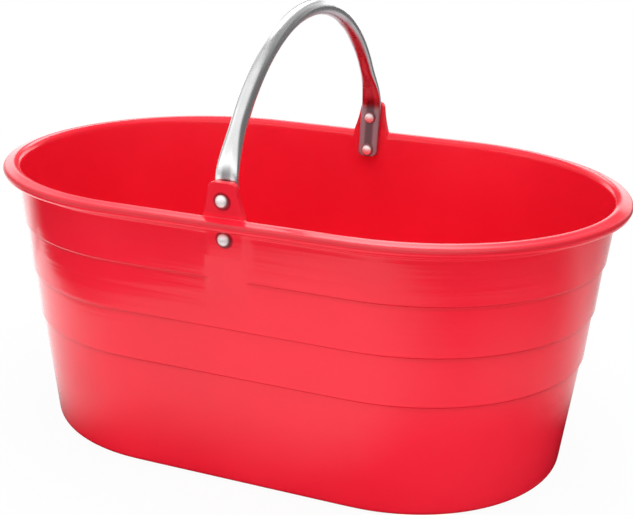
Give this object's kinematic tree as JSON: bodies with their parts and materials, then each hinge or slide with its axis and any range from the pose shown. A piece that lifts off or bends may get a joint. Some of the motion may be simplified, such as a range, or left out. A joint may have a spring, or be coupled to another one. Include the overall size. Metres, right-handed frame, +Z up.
{
  "type": "harvest basket",
  "caption": "Oval moulded plastic harvest basket with a stepped wall, rolled lip and riveted bow handle of aluminium tube, for carrying picked produce.",
  "frame": {"origin": "on the ground, under the middle of the tub", "axes": "+X along the tub's length, +Y across it from front to back, +Z up"},
  "size_m": [0.526, 0.338, 0.3654],
  "materials": {
    "red_plastic": "glossy moulded polyethylene",
    "bright_tube": "bright drawn aluminium tube",
    "rivet_metal": "satin aluminium"
  },
  "bodies": {
    "root": {"tub": "red_plastic", "handle": "bright_tube", "rivet_front_upper": "rivet_metal", "rivet_front_lower": "rivet_metal", "rivet_back_upper": "rivet_metal", "rivet_back_lower": "rivet_metal"}
  },
  "joints": []
}
